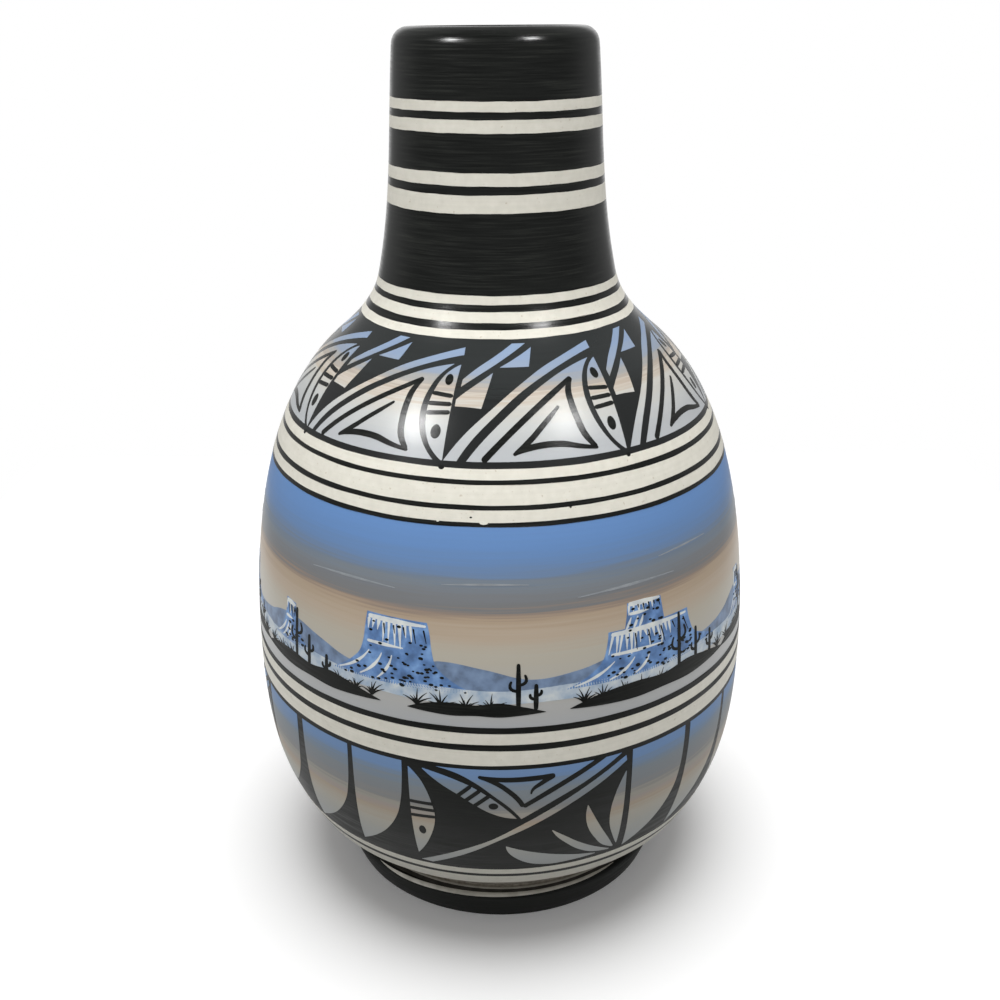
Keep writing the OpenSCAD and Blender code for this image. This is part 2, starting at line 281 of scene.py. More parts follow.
def reach(at, line, place=on_wall):
    """Length of a drawn line on the wall, in millimetres."""
    angle, height = at(np.asarray(line, float))
    points = place(angle, height, 0.0)
    return np.linalg.norm(np.diff(points, axis=0), axis=1).sum() / MM


def field(at, edge_a, edge_b, layer, place=on_wall, least=3):
    """Area between two drawn edges: each share of one edge is joined straight to that of the other, by at
    least so many points."""
    longest = max(reach(at, edge_a, place), reach(at, edge_b, place))
    steps = max(AREA_ROWS, round(longest / DRAW_STEP))
    a, b = curve(edge_a, steps), curve(edge_b, steps)
    probes = np.stack([a, b], 1)[:: max(1, steps // AREA_PROBES)]
    widest = max(reach(at, pair, place) for pair in probes)
    share = np.linspace(0, 1, max(least, round(widest / DRAW_STEP)))[None, :, None]
    return shell(*at(a[:, None] * (1 - share) + b[:, None] * share), layer, place)


def stroke(at, path, widths, layer):
    """Brush line with round ends: a path, set off to both sides by half a width that changes along it
    and falls to the ends as a circle does."""
    steps = max(LINE_ROWS, round(reach(at, path) / DRAW_STEP * LINE_DENSITY))
    share = (1 - np.cos(np.linspace(0, np.pi, steps))) / 2
    dense = curve(path, LINE_PICKS * steps)
    spots = np.linspace(0, 1, len(dense))
    line = np.stack([np.interp(share, spots, dense[:, k]) for k in (0, 1)], 1)
    angle, height = at(line)
    per_degree = np.interp(height, wall_z, wall_r) / MM * (at(line + [1, 0])[0] - angle)
    way = np.gradient(line, axis=0) * np.stack([per_degree, np.ones(steps)], 1)
    way /= np.linalg.norm(way, axis=1)[:, None]
    length = reach(at, line)
    width = np.interp(share, np.linspace(0, 1, len(widths)), widths)
    from_end = np.minimum(share, 1 - share) * length / (width / 2)
    cap = np.sqrt(1 - np.clip(1 - from_end, 0, 1) ** 2)
    half = np.maximum(width / 2 * cap, LINE_TIP)
    side = np.stack([-way[:, 1] / per_degree, way[:, 0]], 1) * half[:, None]
    offsets = np.linspace(-1, 1, 3)[None, :, None]
    return shell(*at(line[:, None] + side[:, None] * offsets), layer)


def dot(at, middle, half, layer, steps=7):
    """Round dab: a square grid whose corners are drawn in to an ellipse."""
    u, v = np.meshgrid(np.linspace(-1, 1, steps), np.linspace(-1, 1, steps), indexing="ij")
    drawn = np.stack([u * np.sqrt(1 - v**2 / 2), v * np.sqrt(1 - u**2 / 2)], -1)
    return shell(*at(np.asarray(middle) + drawn * half), layer)


def piece(name, parts, finish, slot, node):
    """One mesh from parts of points and quads, smooth but for its sharp rims, put on the body in place of a
    node of the frame."""
    starts = np.cumsum([0] + [len(points) for points, _ in parts])
    points = np.concatenate([points for points, _ in parts])
    quads = np.concatenate([quads + start for (_, quads), start in zip(parts, starts)])
    mesh = bpy.data.meshes.new(name)
    mesh.vertices.add(len(points))
    mesh.vertices.foreach_set("co", points.ravel())
    mesh.loops.add(quads.size)
    mesh.loops.foreach_set("vertex_index", quads.ravel())
    mesh.polygons.add(len(quads))
    mesh.polygons.foreach_set("loop_start", np.arange(0, quads.size, 4))
    mesh.update(calc_edges=True)
    mesh.validate()
    mesh.polygons.foreach_set("use_smooth", np.ones(len(mesh.polygons), bool))
    mesh.set_sharp_from_angle(angle=math.radians(SHARP_ANGLE))
    mesh.materials.append(finish)
    made = bpy.data.objects.new(name, mesh)
    bpy.context.scene.collection.objects.link(made)
    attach(made, "root")
    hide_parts(node)


def linear(code):
    """Linear colour from an sRGB hex value."""
    parts = [int(code[k : k + 2], 16) / 255 for k in (1, 3, 5)]
    return (*(p / 12.92 if p <= 0.04045 else ((p + 0.055) / 1.055) ** 2.4 for p in parts), 1.0)


def add(tree, kind, settings=None, inputs=None, into=None, stops=()):
    """Adds a node with its settings. An input is a value, or another node's socket to link; into gives the
    sockets that its outputs feed. Stops are a colour ramp's places, from 0 to 1, and sRGB hex values."""
    made = tree.nodes.new(kind)
    for key, value in (settings or {}).items():
        setattr(made, key, value)
    for key, value in (inputs or {}).items():
        if isinstance(value, bpy.types.NodeSocket):
            tree.links.new(value, made.inputs[key])
        else:
            made.inputs[key].default_value = value
    for key, socket in (into or {}).items():
        tree.links.new(made.outputs[key], socket)
    if stops:
        elements = made.color_ramp.elements
        while len(elements) < len(stops):
            elements.new(0.5)
        for element, (where, code) in zip(elements, stops):
            element.position = where
            element.color = linear(code)
    return made


def finish_of(name, roughness, specular):
    """New material: returns it, its tree and its shader's sockets."""
    made = bpy.data.materials.new(name)
    made.use_nodes = True
    skin = made.node_tree.nodes["Principled BSDF"].inputs
    skin["Roughness"].default_value = roughness
    skin["Specular IOR Level"].default_value = specular
    return made, made.node_tree, skin


# Strokes of a soft brush held to the turning pot: how far apart the marks of its hairs lie, drawn coarser
# than single hairs so that they show, and how far they run; for cream, for black and for the sprayed washes
CREAM_GAP, CREAM_RUN = 0.9 * MM, 55 * MM
BLACK_GAP, BLACK_RUN = 0.55 * MM, 18 * MM
WASH_GAP, WASH_RUN = 1.1 * MM, 60 * MM
# Grains of the cream slip that fired darker, drawn coarser than the real 0.3 mm so that they show, and clouds
# where it went on thinner and thicker
FLECK = 1.1 * MM
MOTTLE = 2.6 * MM
# Dabs of a small brush, grog in the clay, drawn coarser so that it shows, and pools of the glaze
DAB = 4 * MM
GROG = 1.4 * MM
POOL = 22 * MM
# Heights of the tiny hills that brushing and grains leave
BLACK_RELIEF = 0.03 * MM
CREAM_RELIEF = 0.02 * MM
WASH_RELIEF = 0.015 * MM
CLAY_RELIEF = 0.05 * MM


def brushing(tree, place, gap, run, detail=3.0):
    """Level streaks: noise drawn out along the turn, its value about a half."""
    scale = (1 / run, 1 / run, 1 / gap)
    turned = add(tree, "ShaderNodeMapping", {"vector_type": "POINT"}, {"Vector": place, "Scale": scale})
    marks = {"Vector": turned.outputs["Vector"], "Scale": 1.0, "Detail": detail, "Roughness": 0.6}
    return add(tree, "ShaderNodeTexNoise", inputs=marks).outputs["Fac"]


def black_slip(name, roughness, specular):
    """Iron-black slip, brushed on: near black with faint level brush marks that are also duller; burnished
    and sealed it has a satin sheen, left unsealed low on the pot it stays matt."""
    made, tree, skin = finish_of(name, roughness, specular)
    place = add(tree, "ShaderNodeTexCoord").outputs["Object"]
    streaks = brushing(tree, place, BLACK_GAP, BLACK_RUN, 4.0)
    add(
        tree,
        "ShaderNodeValToRGB",
        inputs={"Fac": streaks},
        into={"Color": skin["Base Color"]},
        stops=((0.32, "#070907"), (0.52, "#131513"), (0.72, "#242622")),
    )
    shine = {"From Min": 0.35, "From Max": 0.65, "To Min": 0.75 * roughness, "To Max": 1.3 * roughness}
    add(tree, "ShaderNodeMapRange", inputs={"Value": streaks, **shine}, into={"Result": skin["Roughness"]})
    hills = {"Height": streaks, "Strength": 1.0, "Distance": BLACK_RELIEF}
    add(tree, "ShaderNodeBump", inputs=hills, into={"Normal": skin["Normal"]})
    return made


def cream_slip():
    """White clay slip, banded on and sealed: warm off-white with fine darker flecks and faint brush marks."""
    made, tree, skin = finish_of("cream slip, banded and sealed", roughness=0.42, specular=0.35)
    place = add(tree, "ShaderNodeTexCoord").outputs["Object"]
    streaks = brushing(tree, place, CREAM_GAP, CREAM_RUN)
    mottle = add(tree, "ShaderNodeTexNoise", inputs={"Vector": place, "Scale": 1 / MOTTLE, "Detail": 4.0})
    uneven = add(
        tree,
        "ShaderNodeMix",
        {"data_type": "FLOAT"},
        {"Factor": 0.6, 2: streaks, 3: mottle.outputs["Fac"]},
    )
    tone = add(
        tree,
        "ShaderNodeValToRGB",
        inputs={"Fac": uneven.outputs[0]},
        stops=((0.30, "#d2cfc3"), (0.5, "#d9d6ca"), (0.70, "#e0ddd2")),
    )
    grains = add(tree, "ShaderNodeTexNoise", inputs={"Vector": place, "Scale": 1 / FLECK, "Detail": 2.0})
    flecks = add(
        tree,
        "ShaderNodeMapRange",
        {"interpolation_type": "SMOOTHSTEP"},
        {"Value": grains.outputs["Fac"], "From Min": 0.66, "From Max": 0.78, "To Max": 0.5},
    )
    add(
        tree,
        "ShaderNodeMix",
        {"data_type": "RGBA"},
        {"Factor": flecks.outputs["Result"], 6: tone.outputs["Color"], 7: linear("#a8977c")},
        {2: skin["Base Color"]},
    )
    hills = {"Height": grains.outputs["Fac"], "Strength": 1.0, "Distance": CREAM_RELIEF}
    add(tree, "ShaderNodeBump", inputs=hills, into={"Normal": skin["Normal"]})
    return made


def blended_wash(name, roughness, specular, coat, zero, tones, wander):
    """Sprayed and brushed wash: colours that melt into each other up a coat, with level streaks. Tones are
    millimetres up the wall from a zero height and sRGB hex values; the streaks shift a colour's place by up
    to a share of the coat's height called wander."""
    made, tree, skin = finish_of(name, roughness, specular)
    place = add(tree, "ShaderNodeTexCoord").outputs["Object"]
    low, high = edges_of(coat)
    height = add(tree, "ShaderNodeSeparateXYZ", inputs={"Vector": place}).outputs["Z"]
    share = add(tree, "ShaderNodeMapRange", inputs={"Value": height, "From Min": low, "From Max": high})
    streaks = brushing(tree, place, WASH_GAP, WASH_RUN)
    drift = add(
        tree,
        "ShaderNodeMapRange",
        inputs={"Value": streaks, "From Min": 0.25, "From Max": 0.75, "To Min": -wander, "To Max": wander},
    )
    where = add(
        tree,
        "ShaderNodeMath",
        {"operation": "ADD", "use_clamp": True},
        {0: share.outputs["Result"], 1: drift.outputs["Result"]},
    )
    add(
        tree,
        "ShaderNodeValToRGB",
        inputs={"Fac": where.outputs[0]},
        into={"Color": skin["Base Color"]},
        stops=[((height_of(zero, along) - low) / (high - low), code) for along, code in tones],
    )
    hills = {"Height": streaks, "Strength": 1.0, "Distance": WASH_RELIEF}
    add(tree, "ShaderNodeBump", inputs=hills, into={"Normal": skin["Normal"]})
    return made


def mottled(name, roughness, specular, patch, detail, tones, relief=0.0):
    """Finish that is uneven over patches of a size: a noise moves it between the tones and, where a relief is
    given, makes hills of that height."""
    made, tree, skin = finish_of(name, roughness, specular)
    place = add(tree, "ShaderNodeTexCoord").outputs["Object"]
    noise = {"Vector": place, "Scale": 1 / patch, "Detail": detail}
    uneven = add(tree, "ShaderNodeTexNoise", inputs=noise).outputs["Fac"]
    add(tree, "ShaderNodeValToRGB", inputs={"Fac": uneven}, into={"Color": skin["Base Color"]}, stops=tones)
    if relief:
        hills = {"Height": uneven, "Strength": 1.0, "Distance": relief}
        add(tree, "ShaderNodeBump", inputs=hills, into={"Normal": skin["Normal"]})
    return made


def daubed(name, dark, middle, light):
    """Opaque paint put on with a small brush: one colour, a little uneven from dab to dab."""
    tones = ((0.3, dark), (0.5, middle), (0.7, light))
    return mottled(name, roughness=0.42, specular=0.40, patch=DAB, detail=3.0, tones=tones)


def clay_in_painted_shade():
    """Bisque-fired earthenware, sponged smooth: quite matt, with fine grog specks; its buff is painted darker
    and greyer than the bisque, as painted shade for the waist that lies deep under the belly.
    """
    tones = ((0.3, "#938c80"), (0.5, "#a8a196"), (0.72, "#b6b0a5"))
    return mottled("earthenware, bisque fired, in painted shade", 0.85, 0.25, GROG, 4.0, tones, CLAY_RELIEF)


def lining():
    """Brown lead-free glaze, poured in and out again: dark, glossy, pooled unevenly."""
    tones = ((0.3, "#2b1a12"), (0.55, "#3d271b"), (0.75, "#553828"))
    return mottled("brown glaze, poured", 0.16, 0.5, POOL, 3.0, tones)


black = black_slip("black slip, brushed and sealed", roughness=0.21, specular=0.65)
matt_black = black_slip("black slip, brushed and left matt", roughness=0.5, specular=0.2)
cream = cream_slip()


def height_of(zero, along):
    """Height of a place that lies so many millimetres up the wall from a zero height."""
    return float(np.interp(np.interp(zero, wall_z, wall_run) + along * MM, wall_run, wall_z))


def edges_of(coat):
    """Lowest and highest edge of a coat's bands."""
    own = [(low, high) for name, low, high in wall_bands if name == coat]
    return own[0][0], own[-1][1]


# Rounded lip, from the outside over the top to the glazed inside
liner_points = node_points("liner_glaze")[0]
mouth_z = liner_points[:, 2].max()
mouth_r = np.hypot(*liner_points[liner_points[:, 2] > mouth_z - COAT_EDGE, :2].T).min()
lip_round_z = lip_top_z - lip_round
lip_turn = math.asin((lip_edge_z - lip_round_z) / lip_round)


def lip_line(depth, count=25):
    """From the outer edge over the top to the inside edge, as part of a circle and a quarter ellipse."""
    turn = np.linspace(lip_turn, np.pi, count)
    outer = turn < np.pi / 2
    half = np.where(outer, lip_round, lip_middle_r - mouth_r) - depth
    base = np.where(outer, lip_round_z, mouth_z)
    return np.stack([lip_middle_r + half * np.cos(turn), base + (lip_top_z - base - depth) * np.sin(turn)], 1)


# The black was banded last, so each of its coats lies a little over the cream on both sides
LINE_SPREADS = {
    "heel_black_line": 0.2 * MM,
    "girdle_black_lines": 0.04 * MM,
    "crown_black_lines": 0.07 * MM,
    "collar_black_lines": 0.1 * MM,
    "neck_black_bands": 0.06 * MM,
}


def coat_bands(coat, layer, spread):
    """All bands of one coat, spread at both edges; the topmost goes on over the lip and back under itself."""
    made = []
    for name, low, high in wall_bands:
        if name == coat and high > lip_edge_z - NEAR:
            turn_over = np.concatenate([lip_line(layer[0])[1:], lip_line(layer[1])[::-1][:-1]])
            made.append(band(low - spread, high, layer, turn_over))
        elif name == coat:
            made.append(band(low - spread, high + spread, layer))
    return made


for coat in WALL_COATS:
    if "cream" in coat:
        piece(coat + "_slip", coat_bands(coat, STRIPE_LAYER, 0.0), cream, "cream_slip", coat)
for coat, spread in LINE_SPREADS.items():
    finish = matt_black if coat in ("heel_black_line", "girdle_black_lines") else black
    piece(coat + "_slip", coat_bands(coat, BLACK_LAYER, spread), finish, "black_slip", coat)

# Foot: black up its side and over its rounded edge, and on the outer half of the ledge a black lightened as
# painted light; on it a cream stripe along the rounded edge in three strokes with gaps between them, two at
# the sides of the front, and a thin cream line where the black ends, both in cream darkened as painted shade
foot_points = node_points("foot_black_band")[0]
foot_radii = np.hypot(foot_points[:, 0], foot_points[:, 1])
foot_low_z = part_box("foot_black_band")[0].z
foot_low_r = foot_radii[foot_points[:, 2] < foot_low_z + NEAR].max()
foot_top_r = foot_radii.max()
bead_z = foot_points[foot_radii.argmax(), 2]
bead_top_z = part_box("foot_cream_bead")[1].z
bead_round = bead_top_z - bead_z
waist_r = np.hypot(*node_points("foot_cream_bead")[0][:, :2].T).min()
FOOT_LAYER = (0.06 * MM, 0.36 * MM)
# The black ends this far over the floor; the thin line lies this far out from the waist
FOOT_CLEAR = 0.1 * MM
LEDGE_LINE_IN, LEDGE_LINE_OUT = 1.5 * MM, 2.35 * MM
# Lower and upper edge of each stroke, in degrees and millimetres from the foot's side over its rounded edge
BEAD_STROKES = (
    (
        ((-46.5, 1.9), (-42, 1.25), (-37, 0.85), (-20, 1.0), (0, 1.3), (20, 1.75), (34, 2.2), (42, 2.8)),
        ((-46.5, 1.95), (-42, 1.95), (-37, 2.05), (-20, 2.7), (0, 3.05), (20, 3.2), (34, 3.3), (42, 2.9)),
    ),
    (
        ((60, 2.2), (72, 1.5), (105, 1.2), (138, 1.5), (165, 1.3), (178, 1.9)),
        ((60, 2.3), (72, 2.9), (105, 2.8), (138, 3.0), (165, 2.8), (178, 2.0)),
    ),
    (
        ((188, 1.8), (202, 1.2), (230, 1.4), (258, 1.1), (280, 1.3), (292, 1.9)),
        ((188, 1.9), (202, 2.7), (230, 2.9), (258, 2.7), (280, 2.8), (292, 2.0)),
    ),
)


def on_bead(angle, run, depth):
    """Points of the foot's rounded edge and ledge at an angle from the front and a distance from the side
    over the edge: a quarter round, then level inwards, pushed in along the normal."""
    turn = np.clip(run / bead_round, 0, np.pi / 2)
    inwards = np.maximum(run - bead_round * np.pi / 2, 0)
    radius = foot_top_r - bead_round - inwards + (bead_round - depth) * np.cos(turn)
    height = bead_z + (bead_round - depth) * np.sin(turn)
    return np.stack(np.broadcast_arrays(radius * np.sin(angle), -radius * np.cos(angle), height), -1)


def on_foot(drawn):
    """Lays a drawing on the foot: degrees from the front, and millimetres over its edge."""
    return np.radians(drawn[..., 0]), drawn[..., 1] * MM


def foot_line(depth, count=13):
    """Line at a depth under the foot's face, from over the floor up the side and over the rounded edge."""
    flare = (foot_top_r - foot_low_r) / (bead_z - foot_low_z)
    turn = np.linspace(0, np.pi / 2, count)
    size = bead_round - depth
    edge = np.stack([foot_top_r - bead_round + size * np.cos(turn), bead_z + size * np.sin(turn)], 1)
    low = (foot_low_r - flare * (foot_low_z - FOOT_CLEAR) - depth, FOOT_CLEAR)
    return np.concatenate([[low], edge])


def level_ring(outer, inner, layer):
    """Flat ring on the ledge between two radii, as a closed line carried round."""
    face, back = (bead_top_z - depth for depth in layer)
    return lathe([(outer, face), (inner, face), (inner, back), (outer, back)])


# Greyer than the cream slip: painted shade on the foot's rounded edge and ledge under the belly's overhang
cream_in_painted_shade = daubed("cream slip, darkened as painted shade", "#b4b1a7", "#c2bfb5", "#cdcac0")
# Lighter than the black slip: painted light on the ledge, which lies in deep shade under the belly
ledge_black_painted_light = daubed("black slip, lightened as painted light", "#2c2b27", "#3a3833", "#474540")
foot_coat = np.concatenate([foot_line(FOOT_LAYER[0]), foot_line(FOOT_LAYER[1])[::-1]])
piece("foot_black_slip", [lathe(foot_coat)], matt_black, "black_slip", "foot_black_band")
ledge = level_ring(foot_top_r - bead_round, waist_r + LEDGE_LINE_IN, FOOT_LAYER)
piece("foot_ledge_slip", [ledge], ledge_black_painted_light, "black_slip", "foot_cream_bead")
ledge_line = level_ring(waist_r + LEDGE_LINE_OUT, waist_r + LEDGE_LINE_IN, LINE_LAYER)
bead_strokes = [field(on_foot, *edges, LINE_LAYER, on_bead, least=9) for edges in BEAD_STROKES]
piece("foot_bead_slip", [*bead_strokes, ledge_line], cream_in_painted_shade, "cream_slip", "foot_cream_bead")

# Shoulder: black ground with light shapes and black brush lines, drawn in degrees from each unit's left
# feather tip and millimetres up the wall
shoulder_low, shoulder_high = edges_of("shoulder_panel")
# The drawing's zero lies this far under the panel
SHOULDER_DROP = 0.8 * MM
shoulder_zero = shoulder_low - SHOULDER_DROP
SHOULDER_SPAN = 46.9
# Left and right end of each unit on the seen side, and how far its foot leans; then the leans round the back
SHOULDER_UNITS = ((-58.7, -13.6, -4.0), (-14.3, 32.6, 0.0), (32.9, 76.8, 0.0))
BACK_LEANS = (-2.0, 1.0, -3.0, 0.0, -1.0)
# A lean dies out this many millimetres up the wall
LEAN_TOP = 25
STRIPE = (
    ((1.1, 2.9), (6, 11.3), (12.4, 18.8), (20.4, 26.5), (28.5, 32.4), (38.5, 36.8), (48.8, 40.0)),
    ((4.3, 2.9), (8, 9.8), (13.2, 16.5), (20.6, 24.1), (30, 30.4), (39, 34.5), (48.8, 37.3)),
)
PEAK = (
    ((6.6, 2.9), (10.6, 9.3), (16.4, 16.4), (24.3, 24.0), (34.7, 30.5), (45.8, 34.05)),
    ((45.0, 2.9), (41.4, 9.5), (39.5, 17), (39.4, 22.5), (41.2, 28.6), (45.9, 34.0)),
)
FEATHER = (
    ((46.7, 2.9), (44.4, 6.0), (41.9, 13.0), (41.1, 19.9), (41.9, 25.7), (44.5, 30.9), (48.2, 33.8)),
    ((47.0, 2.9), (47.2, 9.5), (47.5, 17.4), (47.8, 25), (48.1, 30), (48.4, 33.8)),
)
UPPER_BAR = (
    ((3.5, 28.6), (8, 33.2), (12.6, 36.6), (19.5, 41.4)),
    ((3.3, 26.1), (6.4, 28.8), (12.4, 33.4), (20.8, 39.1), (24.4, 41.4)),
)
FLAG = (((15.0, 33.2), (20.6, 36.5), (26.3, 39.9)), ((15.0, 33.1), (19.6, 33.1), (24.4, 33.1)))
WEDGE = (((2.5, 21.9), (5.5, 25.0), (8, 27.2), (12.7, 31.2)), ((2.4, 19.6), (6, 19.5), (9.7, 19.1)))
SHOULDER_SHAPES = (STRIPE, PEAK, FEATHER, UPPER_BAR, FLAG, WEDGE)
# Brush lines: a path, and the line's widths along it in millimetres
SHOULDER_LINES = (
    (((10.5, 2.9), (17.4, 11.6), (25.5, 19.65), (33.3, 25.7), (36.9, 28.1)), (2.0, 1.9, 1.9, 1.9, 1.4)),
    (
        ((36.9, 28.1), (34.9, 24), (34.75, 19.5), (35.3, 14.5), (36.4, 9.5), (38.9, 5.0)),
        (1.3, 2.0, 2.1, 2.1, 2.1, 1.4),
    ),
    (
        ((17.8, 4.9), (21.6, 6.7), (26.5, 7.5), (30.5, 7.25), (34.5, 6.05), (39.2, 4.9)),
        (1.0, 1.9, 2.0, 1.9, 1.5, 1.0),
    ),
    (((18.2, 5.2), (21.6, 8.5), (25.5, 13.1), (29, 17), (30.9, 19.1)), (1.2, 1.8, 1.7, 1.6, 0.9)),
    (((41.2, 23.6), (47.7, 22.8)), (1.4, 1.4)),
    (((40.9, 20.1), (47.6, 20.2)), (1.4, 1.4)),
    (((41.1, 17.0), (47.5, 17.6)), (1.4, 1.4)),
)
# Two dabs in the feather, and the brush's last touch under the feather's tip
SHOULDER_DOTS = (((45.5, 28.4), (1.3, 1.95)), ((44.7, 11.4), (1.2, 2.2)), ((47.0, 0.9), (0.6, 0.7)))

back_starts = np.linspace(SHOULDER_UNITS[-1][1], SHOULDER_UNITS[0][0] + 360, len(BACK_LEANS) + 1)
units = list(SHOULDER_UNITS) + list(zip(back_starts[:-1], back_starts[1:], BACK_LEANS))
shoulder_shapes, shoulder_lines = [], []
for left, right, lean in units:
    at = leaning(lay(shoulder_zero, left, (right - left) / SHOULDER_SPAN), lean, SHOULDER_SPAN, LEAN_TOP)
    shoulder_shapes += [field(at, *edges, SHAPE_LAYER) for edges in SHOULDER_SHAPES]
    shoulder_lines += [stroke(at, path, widths, LINE_LAYER) for path, widths in SHOULDER_LINES]
    shoulder_lines += [dot(at, middle, half, LINE_LAYER) for middle, half in SHOULDER_DOTS]
# Colours of the light shapes, by millimetres up the wall
SHOULDER_TONES = (
    (1, "#b4b8bb"), (7, "#b1b4b6"), (13, "#babcba"), (18, "#bcbab3"), (20, "#c2c0b9"),
    (21.2, "#b8ad9e"), (22.2, "#c2bab0"), (23.2, "#b0a292"), (24.2, "#bfb8ad"), (25.2, "#a69b8f"),
    (26.4, "#a39f9a"), (28, "#989998"), (30, "#8a95a6"), (33, "#8897ac"), (37, "#8497b3"),
    (43, "#869cb8"),
)
shoulder_wash = blended_wash(
    "silver to blue wash, sprayed and sealed",
    roughness=0.32,
    specular=0.8,
    coat="shoulder_panel",
    zero=shoulder_zero,
    tones=SHOULDER_TONES,
    wander=0.05,
)
# The ground's black is painted lighter and greyer towards the collar as a painted sheen, where the shoulder
# turns up towards the light; tones by millimetres up the wall
GROUND_SHEEN_TONES = ((1, "#1e2020"), (18, "#1e2020"), (27, "#262929"), (43, "#2a2d2d"))
shoulder_black_sheen = blended_wash(
    "black slip, sealed, with painted sheen",
    roughness=0.24,
    specular=0.65,
    coat="shoulder_panel",
    zero=shoulder_zero,
    tones=GROUND_SHEEN_TONES,
    wander=0.15,
)
ground = [band(shoulder_low, shoulder_high, GROUND_LAYER)]
piece("shoulder_ground", ground, shoulder_black_sheen, "black_slip", "shoulder_panel")
piece("shoulder_shapes", shoulder_shapes, shoulder_wash, "panel_colours", "shoulder_panel")
piece("shoulder_lines", shoulder_lines, black, "black_slip", "shoulder_panel")

# Lower panel: medallions between groups of petals on a black ground, drawn in degrees, for the first
# medallion from the pot's front, and millimetres up the wall
petal_low, petal_high = edges_of("petal_panel")
# The drawing's zero lies this far under the panel
PETAL_DROP = 0.9 * MM
petal_zero = petal_low - PETAL_DROP
TALL_FEATHER = (
    ((-19.4, 45.5), (-19.4, 30), (-19.2, 7.4)),
    (
        (-19.3, 45.5), (-17, 41.6), (-15.5, 36.9), (-14.6, 32.1), (-14.1, 27.6),
        (-14.3, 23.8), (-15.3, 18.4), (-17, 12.5), (-19.1, 7.4),
    ),
)
SLANT_FEATHER = (
    ((-16.3, 45.9), (-11, 43.8), (-6.6, 41), (-2.9, 37.2), (0.75, 32.1), (3.1, 27.9)),
    ((-16.3, 45.7), (-12.4, 40.7), (-8.9, 37.2), (-5.4, 33.3), (-2.35, 30.3), (0.75, 28.4), (3.1, 27.8)),
)
TRIANGLE = (
    ((-13.4, 47.3), (-9.7, 45.9), (-5.4, 42.3), (-1.6, 37.3), (1.5, 32.8), (4.1, 27.6)),
    ((25.65, 47.3), (18.5, 40.6), (10.8, 34.1), (4.2, 27.6)),
)
LONG_STRIPE = (
    ((-19, 3.0), (-9.7, 11.5), (-2.3, 18.0), (3.8, 24.4), (14.7, 34.9), (26.8, 45.9)),
    ((-16.3, 2.5), (-7.4, 10.9), (0.75, 19.2), (6.2, 24.1), (14.7, 32.0), (22.4, 39.2), (27, 43.9)),
)
LEAF_ONE = (
    ((27.0, 39.6), (25.1, 33.0), (24.1, 26.4), (24.3, 18.0), (25.7, 11.8), (27.3, 6.4)),
    ((27.1, 39.6), (27.2, 23), (27.5, 6.4)),
)
LEAF_TWO = (
    ((18.4, 29.6), (18.2, 25.0), (19.1, 19.0), (21.0, 13.5), (23.6, 8.0), (26.5, 4.7)),
    ((18.5, 29.6), (20.3, 23.7), (22.5, 17.0), (24.7, 11.0), (26.8, 5.0)),
)
LEAF_THREE = (
    ((10.8, 21.1), (11.9, 18.1), (14.2, 14.0), (17.4, 9.2), (21.2, 5.5), (25.8, 3.6)),
    ((10.9, 21.2), (13.8, 17.6), (17.4, 12.9), (21.2, 8.6), (26.0, 3.9)),
)
LEAF_FOUR = (
    ((0.9, 14.8), (1.3, 12.2), (3.3, 8.1), (6.4, 4.7), (10.2, 3.0), (17.0, 3.0), (22.2, 3.5)),
    ((1.0, 14.9), (5.6, 11.9), (11.0, 9.0), (16.6, 6.3), (22.2, 3.9)),
)
MEDALLION_SHAPES = (
    TALL_FEATHER, SLANT_FEATHER, TRIANGLE, LONG_STRIPE,
    LEAF_ONE, LEAF_TWO, LEAF_THREE, LEAF_FOUR,
)
MEDALLION_LINES = (
    (((-4.7, 44.6), (-0.8, 42.0), (1.5, 39.1), (3.45, 35.7), (4.5, 32.7)), (1.2, 1.7, 1.7, 1.7, 1.6)),
    (((-4.7, 44.6), (0, 43.6), (5, 43.6), (11, 44.2)), (1.1, 1.8, 1.9, 1.7)),
    (((11, 44.2), (8.1, 41.5), (6.35, 39.2), (6.1, 37.6)), (1.7, 1.7, 1.3, 0.5)),
    (((4.5, 32.7), (10.8, 38.9), (17.8, 44.9), (22.0, 48.4)), (1.6, 1.9, 1.9, 1.9)),
    (((-19.6, 31.9), (-14.2, 32)), (1.25, 1.25)),
    (((-19.6, 29.1), (-13.9, 29.3)), (1.25, 1.25)),
    (((-19.6, 26), (-13.9, 26.6)), (1.25, 1.25)),
    (((-6.2, 40.9), (-9.1, 36.6)), (1.4, 1.4)),
    (((-4.3, 39.4), (-7.6, 34.7)), (1.4, 1.4)),
    (((-2.4, 37.4), (-6, 32.5)), (1.4, 1.4)),
)
MEDALLION_DOTS = (((-17.2, 19.9), (0.8, 1.9)), ((-1.65, 33.1), (1.0, 1.25)))
MEDALLION_LEFT, MEDALLION_RIGHT = -20.8, 28.6
# One petal, in shares of its width and millimetres: an upright left edge and a right edge that sweeps in
PETAL_TOP = 47.2
PETAL_TIP = 4.9
PETAL = (
    ((0, PETAL_TOP), (0, 32), (0, 16), (0, PETAL_TIP + 0.1)),
    (
        (1, PETAL_TOP), (0.99, 39), (0.95, 31), (0.87, 24.5), (0.71, 18.3),
        (0.50, 13), (0.26, 8.7), (0, PETAL_TIP),
    ),
)
# Petals beside the front medallion: left and right edge in degrees, the tip's millimetres up the wall and its
# lean in degrees
SIDE_PETALS = (
    (-66, -50.7, 3.2, -1.0),
    (-48.5, -34.1, 3.2, -1.1),
    (-32.85, -20.8, 4.9, -1.4),
    (28.4, 43.4, 2.9, 1.3),
    (45.2, 59.5, 3.5, -1.8),
    (61, 75, 3.5, -1.0),
)
